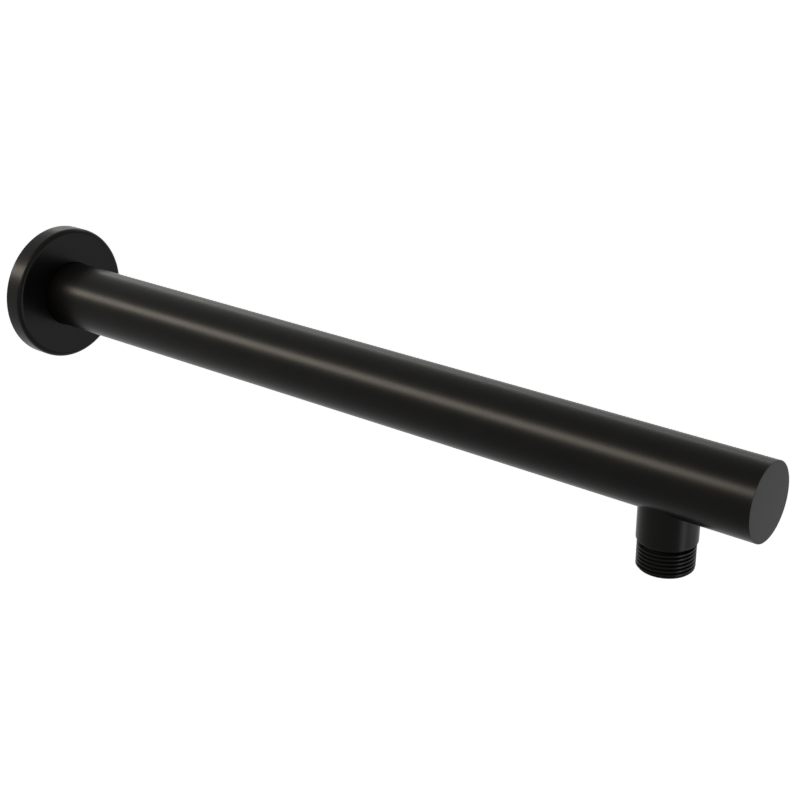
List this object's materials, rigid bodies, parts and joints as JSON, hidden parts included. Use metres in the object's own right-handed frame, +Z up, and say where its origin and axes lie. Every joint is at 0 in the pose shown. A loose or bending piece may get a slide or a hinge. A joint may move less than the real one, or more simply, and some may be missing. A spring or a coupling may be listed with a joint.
{
  "type": "wall-mounted shower arm",
  "caption": "Straight round wall-mounted shower arm in satin black, with a sliding wall flange and a male outlet thread that points down near its closed end.",
  "frame": {"origin": "the arm's axis at the wall plane, where the wall thread passes through it", "axes": "+X out of the wall along the arm, +Z up, outlet down along -Z"},
  "size_m": [0.374, 0.06, 0.0659],
  "materials": {
    "black_coat": "satin",
    "bare_brass": "turned",
    "rubber": "matte"
  },
  "bodies": {
    "arm": {"arm_tube": "black_coat", "end_plug": "black_coat", "outlet_nipple": "black_coat", "wall_nipple": "bare_brass"},
    "flange": {"wall_flange": "black_coat", "flange_seal": "rubber"}
  },
  "joints": [
    {"name": "flange_slide", "type": "slide", "parent": "arm", "child": "flange", "axis": [1, 0, 0], "range_m": [0, 0.302]}
  ]
}
